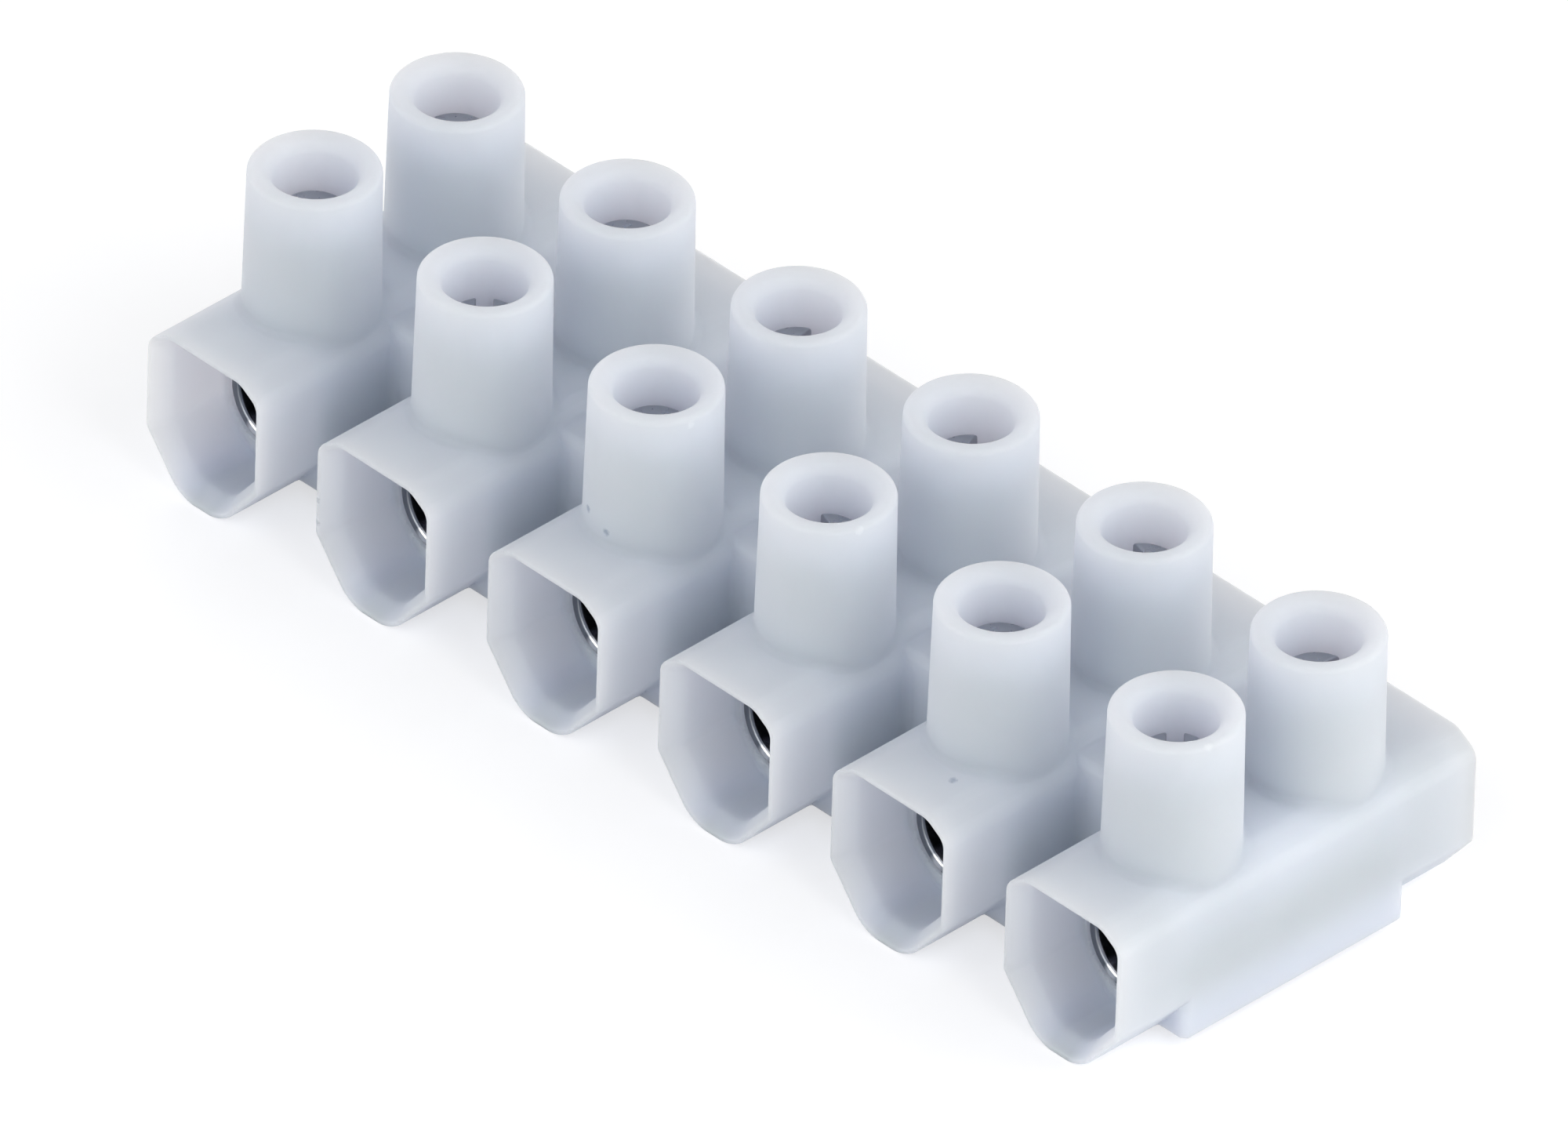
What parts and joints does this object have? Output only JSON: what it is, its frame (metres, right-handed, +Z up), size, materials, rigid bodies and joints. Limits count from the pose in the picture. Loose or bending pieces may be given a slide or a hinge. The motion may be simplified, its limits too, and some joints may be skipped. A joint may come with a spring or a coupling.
{
  "type": "terminal strip",
  "caption": "Screw terminal strip: a moulded plastic row of poles with funnel wire entries at both sides, plated metal barrels inside and slotted clamping screws in chimneys.",
  "frame": {"origin": "under the middle of the strip, on the plane that the poles' undersides rest on", "axes": "+X along the row of poles, -Y out of the front wire entries, +Z up along the screws"},
  "size_m": [0.0566, 0.0202, 0.0143],
  "materials": {
    "housing_plastic": "natural white moulded plastic, satin and a little translucent",
    "barrel_plating": "bright nickel plate on brass",
    "screw_steel": "zinc-plated steel"
  },
  "bodies": {
    "strip": {"housing": "housing_plastic", "barrel_1": "barrel_plating", "barrel_2": "barrel_plating", "barrel_3": "barrel_plating", "barrel_4": "barrel_plating", "barrel_5": "barrel_plating", "barrel_6": "barrel_plating"},
    "screw_front_1": {"screw_front_1": "screw_steel"},
    "screw_front_2": {"screw_front_2": "screw_steel"},
    "screw_front_3": {"screw_front_3": "screw_steel"},
    "screw_front_4": {"screw_front_4": "screw_steel"},
    "screw_front_5": {"screw_front_5": "screw_steel"},
    "screw_front_6": {"screw_front_6": "screw_steel"},
    "screw_rear_1": {"screw_rear_1": "screw_steel"},
    "screw_rear_2": {"screw_rear_2": "screw_steel"},
    "screw_rear_3": {"screw_rear_3": "screw_steel"},
    "screw_rear_4": {"screw_rear_4": "screw_steel"},
    "screw_rear_5": {"screw_rear_5": "screw_steel"},
    "screw_rear_6": {"screw_rear_6": "screw_steel"}
  },
  "joints": [
    {"name": "screw_front_1_travel", "type": "slide", "parent": "strip", "child": "screw_front_1", "axis": [0, 0, 1], "range_m": [-0.0027, 0.0003]},
    {"name": "screw_front_2_travel", "type": "slide", "parent": "strip", "child": "screw_front_2", "axis": [0, 0, 1], "range_m": [-0.0027, 0.0003]},
    {"name": "screw_front_3_travel", "type": "slide", "parent": "strip", "child": "screw_front_3", "axis": [0, 0, 1], "range_m": [-0.0027, 0.0003]},
    {"name": "screw_front_4_travel", "type": "slide", "parent": "strip", "child": "screw_front_4", "axis": [0, 0, 1], "range_m": [-0.0027, 0.0003]},
    {"name": "screw_front_5_travel", "type": "slide", "parent": "strip", "child": "screw_front_5", "axis": [0, 0, 1], "range_m": [-0.0027, 0.0003]},
    {"name": "screw_front_6_travel", "type": "slide", "parent": "strip", "child": "screw_front_6", "axis": [0, 0, 1], "range_m": [-0.0027, 0.0003]},
    {"name": "screw_rear_1_travel", "type": "slide", "parent": "strip", "child": "screw_rear_1", "axis": [0, 0, 1], "range_m": [-0.0027, 0.0003]},
    {"name": "screw_rear_2_travel", "type": "slide", "parent": "strip", "child": "screw_rear_2", "axis": [0, 0, 1], "range_m": [-0.0027, 0.0003]},
    {"name": "screw_rear_3_travel", "type": "slide", "parent": "strip", "child": "screw_rear_3", "axis": [0, 0, 1], "range_m": [-0.0027, 0.0003]},
    {"name": "screw_rear_4_travel", "type": "slide", "parent": "strip", "child": "screw_rear_4", "axis": [0, 0, 1], "range_m": [-0.0027, 0.0003]},
    {"name": "screw_rear_5_travel", "type": "slide", "parent": "strip", "child": "screw_rear_5", "axis": [0, 0, 1], "range_m": [-0.0027, 0.0003]},
    {"name": "screw_rear_6_travel", "type": "slide", "parent": "strip", "child": "screw_rear_6", "axis": [0, 0, 1], "range_m": [-0.0027, 0.0003]}
  ]
}
